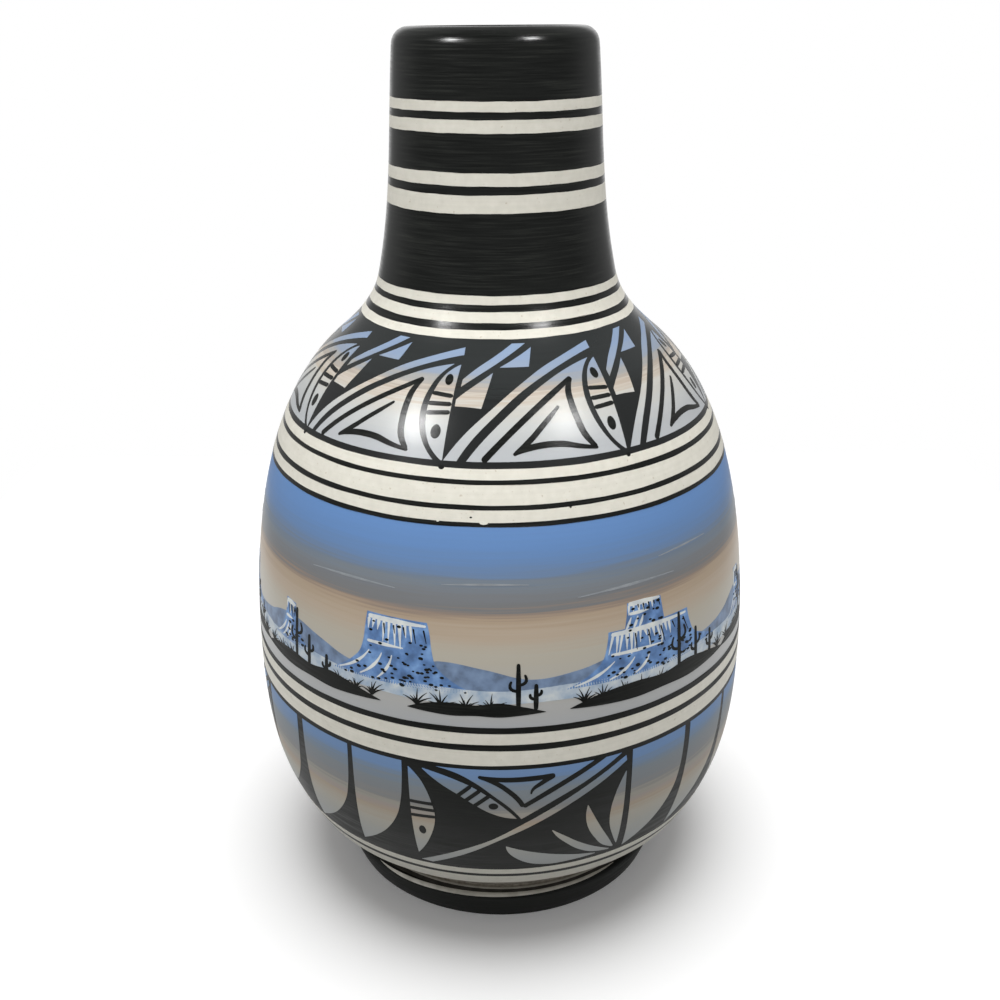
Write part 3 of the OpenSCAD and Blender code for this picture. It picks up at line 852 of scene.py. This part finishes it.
# Round the back the same order goes on: medallion, three petals, medallion, three petals, medallion, within
# these ends in degrees; a group of petals takes its own span and stands in from the medallion before it
BACK_LEFT, BACK_RIGHT = 76.2, 360 - 67.0
PETAL_GROUP_SPAN = 46.2
PETAL_GROUP_IN = 0.8
medallion_span = MEDALLION_RIGHT - MEDALLION_LEFT
back_stretch = (BACK_RIGHT - BACK_LEFT) / (3 * medallion_span + 2 * PETAL_GROUP_SPAN)
back_step = (medallion_span + PETAL_GROUP_SPAN) * back_stretch
medallions = [(0.0, 1.0)]
petals = list(SIDE_PETALS)
for number in range(3):
    start = BACK_LEFT + number * back_step
    medallions.append((start - MEDALLION_LEFT * back_stretch, back_stretch))
    if number < 2:
        group_start = start + medallion_span * back_stretch
        shift = group_start - (SIDE_PETALS[0][0] - PETAL_GROUP_IN) * back_stretch
        for left, right, *tip in SIDE_PETALS[:3]:
            petals.append((shift + left * back_stretch, shift + right * back_stretch, *tip))
petal_shapes, petal_lines = [], []
for start, stretch in medallions:
    at = lay(petal_zero, start, stretch)
    petal_shapes += [field(at, *edges, SHAPE_LAYER) for edges in MEDALLION_SHAPES]
    petal_lines += [stroke(at, path, widths, LINE_LAYER) for path, widths in MEDALLION_LINES]
    petal_lines += [dot(at, middle, half, LINE_LAYER) for middle, half in MEDALLION_DOTS]
for left, right, tip, lean in petals:
    at = lay(petal_zero, left, right - left)
    edges = []
    for edge in PETAL:
        across, up = np.array(edge).T
        fall = (PETAL_TOP - up) / (PETAL_TOP - PETAL_TIP)
        leant = across + lean / (right - left) * fall**2
        edges.append(np.stack([leant, PETAL_TOP - (PETAL_TOP - tip) * fall], 1))
    petal_shapes.append(field(at, *edges, SHAPE_LAYER))
# Colours of the petals and medallions, by millimetres up the wall
PETAL_TONES = (
    (1, "#acaead"), (8, "#adb0af"), (15, "#afafa9"), (20, "#b3afa4"), (23, "#b0a799"),
    (25, "#ac9e8d"), (27, "#a39a94"), (29, "#9f9c93"), (31, "#8a8a88"), (34, "#84888b"),
    (38, "#81898f"), (41, "#7a899a"), (43, "#738cad"), (45, "#718eb6"), (49, "#728eb4"),
)
petal_wash = blended_wash(
    "tan to blue wash, sprayed and left matt",
    roughness=0.45,
    specular=0.12,
    coat="petal_panel",
    zero=petal_zero,
    tones=PETAL_TONES,
    wander=0.04,
)
piece("petal_ground", [band(petal_low, petal_high, GROUND_LAYER)], matt_black, "black_slip", "petal_panel")
piece("petal_shapes", petal_shapes, petal_wash, "panel_colours", "petal_panel")
piece("petal_lines", petal_lines, matt_black, "black_slip", "petal_panel")

# Belly: a sky that fades from blue down to tan over a strip of grey
sky_low, sky_high = edges_of("sky_band")
SKY_TONES = (
    (0, "#acaeaf"), (6, "#b0b0ae"), (24, "#b6b0a2"), (31, "#b6a693"), (36, "#ad9a84"),
    (38, "#948477"), (40, "#797a7b"), (43, "#7a7d81"), (46, "#79828b"), (48, "#727f8f"),
    (50, "#6c82a0"), (53, "#6685af"), (58, "#6388ba"), (64.3, "#648bc0"),
)
sky_wash = blended_wash(
    "tan to blue sky wash, sprayed",
    roughness=0.35,
    specular=0.4,
    coat="sky_band",
    zero=sky_low,
    tones=SKY_TONES,
    wander=0.035,
)
piece("sky_wash", [band(sky_low, sky_high, GROUND_LAYER)], sky_wash, "sky_colours", "sky_band")

# A plain desert view on the belly, drawn in degrees and millimetres up from the band's lower edge and
# repeated round the pot: far hills, pale flats, flat-topped rocks, a dark near ground with plants, and thin
# clouds
VIEW_SPAN = 120
VIEW_REPEATS = 3
# Millimetres to a degree on the belly
VIEW_DEGREE = 1.55
HILLS_LOW = 11.0
HILLS = (
    (-60, 19), (-50, 22.5), (-41, 20), (-32, 16.5), (-22, 18), (-12, 22), (-3, 20),
    (6, 16.5), (16, 18), (27, 21.5), (38, 18.5), (48, 16.5), (60, 19),
)
FLATS_LOW, FLATS_WAVE = 8.4, 0.5
FLATS_TOP = (
    (-60, 13), (-45, 13.8), (-30, 12.6), (-15, 13.6), (0, 12.8),
    (15, 13.8), (30, 12.7), (45, 13.7), (60, 13),
)
# Left and right side of each rock, from its foot up
ROCKS = (
    (
        ((-37, 12), (-32.5, 16.5), (-30, 20.5), (-29, 25), (-28.6, 30), (-28.2, 34.5)),
        ((-5, 12), (-10, 16), (-12.8, 20), (-13.8, 25), (-14.2, 30), (-14.8, 34)),
    ),
    (
        ((13, 12), (18, 15.5), (21, 19.5), (22, 24), (22.4, 28.5)),
        ((57, 12), (50, 15.5), (45.5, 19), (44, 23.5), (43.4, 28)),
    ),
    (((26, 27), (26.6, 31), (27, 36.5)), ((36.5, 27), (36, 31.5), (35.6, 36))),
    (
        ((-58.5, 12), (-55, 16.5), (-53.6, 21.5), (-53.2, 27.5)),
        ((-43, 12), (-47, 16), (-48.8, 21), (-49.4, 27)),
    ),
)
# Dark dabs on each rock, and its sunlit layers: a share up, the ends across and the brush's widths
ROCK_DABS = (70, 70, 14, 26)
ROCK_LAYERS = ((0.95, (0.03, 0.97), (1.3, 1.7, 0.7)), (0.62, (0.06, 0.6), (0.9, 1.2, 0.3)))
# Flutes: the share up where they start, how far apart they stand, and between which shares across and with
# which drops they lie
FLUTE_TOP = 0.93
FLUTE_GAP = 1.5
FLUTE_ENDS = (0.05, 0.72)
FLUTE_DROPS = (0.12, 0.38)
# Streaks down to a rock's foot: their shares across, and the path of one, aside and up
FOOT_STREAKS = (0.12, 0.3, 0.44)
FOOT_STREAK_PATH = ((0, 0.5), (-0.04, 0.3), (-0.1, 0.06))
# Near ground: left end, right end and crest of each dark bank; then where its foot lies, how thick its ends
# are, the shares of its rise along the crest and the drops along the foot
BANKS = ((-63, -25, 8.6), (-19, 9, 7.6), (14, 58, 9.0))
BANK_FOOT = 4.0
BANK_THICK = 1.2
BANK_CREST = (0, 0.7, 0.9, 0.75, 1.0, 0.6, 0)
BANK_EDGE = (1.1, 0.4, 0, 0.3, -0.1, 0.4, 1.1)
# Plants: where they stand, place and height of each branched one, and places of the tufts
PLANT_FOOT = 6.0
TUFT_FOOT = 6.4
BRANCHED = ((-49, 20), (-44.5, 13), (-39, 9), (3.5, 16), (7, 9), (40.5, 22), (46, 14), (51.5, 10))
TUFTS = (-60, -55, -51, -35, -31, -27, -17, -12, -7, -2, 17, 21, 26, 30, 35, 55)
# Clouds: three places of the brush and its widths
CLOUDS = (
    ((-44, 43.2), (-34, 44.0), (-22, 43.6), (0.2, 0.8, 0.2)),
    ((-12, 46.5), (-4, 47.1), (6, 46.8), (0.2, 0.7, 0.2)),
    ((16, 41.4), (28, 42.3), (40, 42.0), (0.2, 0.9, 0.2)),
    ((36, 48.4), (44, 48.9), (52, 48.7), (0.2, 0.6, 0.2)),
)
# Small chances of the hand, the same at every run
hand = np.random.default_rng(11)


def within(sides, across, up):
    """Place inside a rock at a share across from left to right and a share up from its foot."""
    left, right = (curve(side, 101)[round(up * 100)] for side in sides)
    return left * (1 - across) + right * across


def rock_lights(at, sides):
    """Sunlit layers under a rock's top and half way up, and flutes and streaks down its face."""
    made = []
    for up, ends, widths in ROCK_LAYERS:
        path = [within(sides, share, up) for share in np.linspace(*ends, 4)]
        made.append(stroke(at, path, widths, DAB_LAYER))
    wide = np.hypot(*(within(sides, 1, 0.9) - within(sides, 0, 0.9)))
    for share in np.linspace(*FLUTE_ENDS, max(3, round(wide / FLUTE_GAP))):
        drop = hand.uniform(*FLUTE_DROPS)
        foot = within(sides, share + hand.uniform(-0.02, 0.03), FLUTE_TOP - drop)
        path = [within(sides, share, FLUTE_TOP), foot]
        made.append(stroke(at, path, (hand.uniform(0.9, 1.5), 0.2), DAB_LAYER))
    for share in FOOT_STREAKS:
        path = [within(sides, share + aside, up) for aside, up in FOOT_STREAK_PATH]
        made.append(stroke(at, path, (0.3, 1.1, 0.4), DAB_LAYER))
    return made


def rock_darks(at, sides, count):
    """Brush dabs of scrub and cracks, thicker low down and on the shaded side."""
    made = []
    for _ in range(count):
        spot = within(sides, hand.beta(1.5, 1.0) * 0.94 + 0.03, hand.beta(1.1, 1.5) * 0.9)
        size = hand.uniform(0.25, 0.5) * np.array([1.1, 1.0])
        made.append(dot(at, spot, size, LINE_LAYER, 4))
    for share in np.linspace(0.3, 0.92, 5):
        path = [within(sides, share, 0.9), within(sides, share + 0.02, 0.9 - hand.uniform(0.1, 0.3))]
        made.append(stroke(at, path, (0.6, 0.2), LINE_LAYER))
    return made


def branched_plant(at, place, height):
    """Upright stem with two bent arms, each a round-ended brush line."""
    stem = ((place, PLANT_FOOT), (place + 0.1, PLANT_FOOT + height))
    made = [stroke(at, stem, (1.3, 1.6, 1.5, 1.1), LINE_LAYER)]
    for side, low in ((-1, 0.42), (1, 0.55)):
        elbow = PLANT_FOOT + height * low
        out = side * (0.75 + 0.035 * height)
        arm = ((place, elbow), (place + out * 0.7, elbow + 0.3), (place + out, elbow + height * 0.22))
        made.append(stroke(at, arm, (1.0, 1.1, 0.8), LINE_LAYER))
    return made


def tuft(at, place):
    """Fan of tapering blades from one foot."""
    made = []
    for lean in np.linspace(-60, 60, 7) + hand.uniform(-7, 7, 7):
        length = hand.uniform(3.0, 6.0)
        turn = math.radians(lean)
        tip = (place + length * math.sin(turn) / VIEW_DEGREE, TUFT_FOOT + length * math.cos(turn))
        bend = (place + 0.4 * (tip[0] - place), TUFT_FOOT + 0.58 * (tip[1] - TUFT_FOOT))
        made.append(stroke(at, ((place, TUFT_FOOT), bend, tip), (0.7, 0.55, 0.12), LINE_LAYER))
    return made


hills, flats, rocks, lights, darks, clouds = [], [], [], [], [], []
for turn in range(VIEW_REPEATS):
    at = lay(sky_low, turn * VIEW_SPAN)
    hills_foot = [(angle, HILLS_LOW) for angle, _ in HILLS]
    hills.append(field(at, hills_foot, HILLS, FAR_LAYER))
    flats_foot = [(angle, FLATS_LOW + FLATS_WAVE * math.sin(angle)) for angle, _ in FLATS_TOP]
    flats.append(field(at, flats_foot, FLATS_TOP, SHAPE_LAYER))
    for sides, count in zip(ROCKS, ROCK_DABS):
        rocks.append(field(at, *sides, SHAPE_LAYER))
        lights += rock_lights(at, sides)
        darks += rock_darks(at, sides, count)
    for *path, widths in CLOUDS:
        clouds.append(stroke(at, path, widths, DAB_LAYER))
    for left, right, crest in BANKS:
        spots = np.linspace(left, right, len(BANK_CREST))
        rise = crest - BANK_FOOT
        top = [(angle, BANK_FOOT + BANK_THICK + rise * up) for angle, up in zip(spots, BANK_CREST)]
        foot = [(angle, BANK_FOOT + up) for angle, up in zip(spots, BANK_EDGE)]
        darks.append(field(at, foot, top, LINE_LAYER))
    for place, height in BRANCHED:
        darks += branched_plant(at, place, height)
    for place in TUFTS:
        darks += tuft(at, place)
blue_paint = daubed("blue paint, brushed", "#4d6a94", "#5f84b8", "#7ea4d4")
hill_paint = daubed("grey-blue paint, brushed", "#5f6f86", "#7186a4", "#8096b4")
pale_paint = daubed("pale blue paint, brushed", "#93a9c0", "#b4c0cb", "#cdd3d4")
white_paint = daubed("white paint, brushed", "#c3cad0", "#d6dad9", "#e2e4e0")
piece("view_hills", hills, hill_paint, "sky_colours", "sky_band")
piece("view_flats", flats, pale_paint, "sky_colours", "sky_band")
piece("view_rocks", rocks, blue_paint, "sky_colours", "sky_band")
cloud_paint = daubed("grey wash, brushed", "#84898e", "#8d9296", "#979ba0")
piece("view_clouds", clouds, cloud_paint, "sky_colours", "sky_band")
piece("view_lights", lights, white_paint, "sky_colours", "sky_band")
piece("view_darks", darks, matt_black, "black_slip", "sky_band")

# Marks of use: chips that show the pale slip, and dark specks, each an angle in degrees, a height above the
# floor in millimetres, and half its width and height
CHIPS = (
    (-3.3, 164.5, (0.9, 0.45)),
    (-13.3, 164.65, (0.35, 0.35)),
)
SPECKS = (
    (-6.1, 166.05, (0.3, 0.25)),
    (15.8, 168.05, (0.3, 0.6)),
)
chips = [dot(lay(z * MM, a), (0, 0), half, LINE_LAYER, 5) for a, z, half in CHIPS]
specks = [dot(lay(z * MM, a), (0, 0), half, LINE_LAYER, 5) for a, z, half in SPECKS]
piece("wear_chips", chips, cream, "cream_slip", "crown_black_lines")
piece("wear_specks", specks, black, "black_slip", "crown_cream_stripes")

# Bare clay under the coats, darkened as painted shade, and the glazed inside keep the frame's own shapes
clay = clay_in_painted_shade()
own_finishes = {"foot_ring": clay, "lower_body": clay, "upper_body": clay, "neck": clay}
own_finishes["liner_glaze"] = lining()
for name, finish in own_finishes.items():
    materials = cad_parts[name].data.materials
    materials.clear()
    materials.append(finish)

# Studio: a pale floor that runs out to white, an overhead soft light, two windows and a dim front fill
FLOOR_LEFT, FLOOR_RIGHT, FLOOR_FRONT, FLOOR_BACK = -0.34, 0.34, -0.16, 0.42
FLOOR_WHITE, FLOOR_BOUNCE = "#ffffff", "#7f7f7f"
# Haze of the bright backdrop over the shadow
FLOOR_HAZE = 0.06


def paper_sweep():
    """White paper, rolled out and matt: white for rays that show the floor itself, straight, mirrored or
    through glass, with a haze over its shadow; grey for the light that it throws back."""
    made, tree, skin = finish_of("white paper sweep, matt", roughness=1.0, specular=0.0)
    skin["Emission Color"].default_value = linear(FLOOR_WHITE)
    rays = add(tree, "ShaderNodeLightPath").outputs
    straight_or_mirrored = add(
        tree,
        "ShaderNodeMath",
        {"operation": "MAXIMUM"},
        {0: rays["Is Camera Ray"], 1: rays["Is Glossy Ray"]},
    )
    seen = add(
        tree,
        "ShaderNodeMath",
        {"operation": "MAXIMUM"},
        {0: straight_or_mirrored.outputs[0], 1: rays["Is Transmission Ray"]},
    ).outputs[0]
    add(
        tree,
        "ShaderNodeMix",
        {"data_type": "RGBA"},
        {"Factor": seen, 6: linear(FLOOR_BOUNCE), 7: linear(FLOOR_WHITE)},
        {2: skin["Base Color"]},
    )
    haze = {0: seen, 1: FLOOR_HAZE}
    add(tree, "ShaderNodeMath", {"operation": "MULTIPLY"}, haze, {0: skin["Emission Strength"]})
    return made


floor_mesh = bpy.data.meshes.new("floor")
floor_corners = [
    (FLOOR_LEFT, FLOOR_FRONT, 0.0),
    (FLOOR_RIGHT, FLOOR_FRONT, 0.0),
    (FLOOR_RIGHT, FLOOR_BACK, 0.0),
    (FLOOR_LEFT, FLOOR_BACK, 0.0),
]
floor_mesh.from_pydata(floor_corners, [], [(0, 1, 2, 3)])
floor_mesh.materials.append(paper_sweep())
floor = bpy.data.objects.new("floor", floor_mesh)
bpy.context.scene.collection.objects.link(floor)

# Levels of the room at which a colour renders about as written: overhead and at the horizon for matt
# surfaces, and dim in front and at the sides for what shines
ZENITH_LEVEL = 0.30
HORIZON_LEVEL = 0.52
ROOM_LEVEL = 0.16
SIDE_LEVEL = 0.27
# Where the room turns from front to side and from side to back, from -1 at the front to 1 at the back
SIDE_START, SIDE_END = -0.2, 0.5
BACK_START, BACK_END = 0.8, 1.0


def white_room():
    """World that the camera sees as white. What shines mirrors a dim front, brighter sides and a white back;
    what is matt is lit by a level that fades from the horizon to the zenith."""
    made = bpy.data.worlds.new("white room")
    made.use_nodes = True
    tree = made.node_tree
    backdrop = tree.nodes["Background"].inputs
    backdrop["Color"].default_value = linear("#ffffff")
    way = add(tree, "ShaderNodeTexCoord").outputs["Generated"]
    towards = add(tree, "ShaderNodeSeparateXYZ", inputs={"Vector": way}).outputs
    smooth = {"interpolation_type": "SMOOTHSTEP"}
    side = {"From Min": SIDE_START, "From Max": SIDE_END, "To Min": ROOM_LEVEL, "To Max": SIDE_LEVEL}
    beside = add(tree, "ShaderNodeMapRange", smooth, {"Value": towards["Y"], **side})
    back = {"From Min": BACK_START, "From Max": BACK_END, "To Max": 1 - SIDE_LEVEL}
    behind = add(tree, "ShaderNodeMapRange", smooth, {"Value": towards["Y"], **back})
    mirrored_room = add(
        tree,
        "ShaderNodeMath",
        {"operation": "ADD"},
        {0: beside.outputs["Result"], 1: behind.outputs["Result"]},
    )
    matt_room = add(
        tree,
        "ShaderNodeMapRange",
        inputs={"Value": towards["Z"], "To Min": HORIZON_LEVEL, "To Max": ZENITH_LEVEL},
    )
    rays = add(tree, "ShaderNodeLightPath").outputs
    mirrored = add(
        tree,
        "ShaderNodeMath",
        {"operation": "MAXIMUM"},
        {0: rays["Is Glossy Ray"], 1: rays["Is Transmission Ray"]},
    )
    unseen = add(
        tree,
        "ShaderNodeMix",
        {"data_type": "FLOAT"},
        {"Factor": mirrored.outputs[0], 2: matt_room.outputs["Result"], 3: mirrored_room.outputs[0]},
    )
    add(
        tree,
        "ShaderNodeMix",
        {"data_type": "FLOAT"},
        {"Factor": rays["Is Camera Ray"], 2: unseen.outputs[0], 3: 1.0},
        {0: backdrop["Strength"]},
    )
    return made


bpy.context.scene.world = white_room()

# Flags keep the near lamps' light off the floor, so that the shadow stays the overhead light's
flagged = bpy.data.collections.new("flagged off the floor")
flagged.objects.link(floor)
flagged.collection_objects[0].light_linking.link_state = "EXCLUDE"
# The near lamps point at the pot's shoulder
AIM = (0.0, 0.0, 0.19)
# Strength of the overhead light, and how high it stands and how wide it is in degrees
OVERHEAD_LEVEL = 2.28
OVERHEAD_UP = 89
OVERHEAD_SPREAD = 36
# Near lamps: name, power, place, side of the square, and whether what shines mirrors them
NEAR_LAMPS = (
    ("window_left", 1.5, (-0.42, -0.325, 0.635), 0.13, True),
    ("window_right", 1.15, (0.345, -0.355, 0.672), 0.13, True),
    ("front_fill", 0.9, (0.0, -1.0, 0.75), 0.8, False),
)


def lamp(name, kind, energy, mirrored):
    """Lamp of a kind and strength, which what shines mirrors or not: returns its object and its data."""
    light = bpy.data.lights.new(name, kind)
    light.energy = energy
    made = bpy.data.objects.new(name, light)
    made.visible_glossy = mirrored
    bpy.context.scene.collection.objects.link(made)
    return made, light


overhead, light = lamp("overhead_softbox", "SUN", OVERHEAD_LEVEL, False)
light.angle = math.radians(OVERHEAD_SPREAD)
overhead.matrix_world = Matrix.Rotation(math.radians(90 - OVERHEAD_UP), 4, "X")
for name, power, place, size, mirrored in NEAR_LAMPS:
    near, light = lamp(name, "AREA", power, mirrored)
    light.shape = "SQUARE"
    light.size = size
    aim = (Vector(AIM) - Vector(place)).to_track_quat("-Z", "Y").to_matrix().to_4x4()
    near.matrix_world = Matrix.Translation(place) @ aim
    near.light_linking.receiver_collection = flagged

# Camera: as far, as high and as tilted as the photograph's, in metres and radians
CAMERA_BACK = 0.3899
CAMERA_UP = 0.3018
CAMERA_DOWN = math.radians(22.67)
CAMERA_ROLL = -0.0080
# Width of the sensor in millimetres; focal length, picture width and the lens axis's column in pixels
SENSOR = 36.0
FOCAL_PIXELS, FRAME_PIXELS, AXIS_PIXEL = 1156.0, 1000.0, 499.0
camera_data = bpy.data.cameras.new("camera")
camera_data.sensor_width = SENSOR
camera_data.lens = SENSOR * FOCAL_PIXELS / FRAME_PIXELS
camera_data.shift_x = 0.5 - AXIS_PIXEL / FRAME_PIXELS
camera = bpy.data.objects.new("camera", camera_data)
look = Matrix.Rotation(math.pi / 2 - CAMERA_DOWN, 4, "X") @ Matrix.Rotation(CAMERA_ROLL, 4, "Z")
camera.matrix_world = Matrix.Translation((0, -CAMERA_BACK, CAMERA_UP)) @ look
bpy.context.scene.collection.objects.link(camera)
bpy.context.scene.camera = camera
bpy.context.scene.view_settings.view_transform = "Standard"
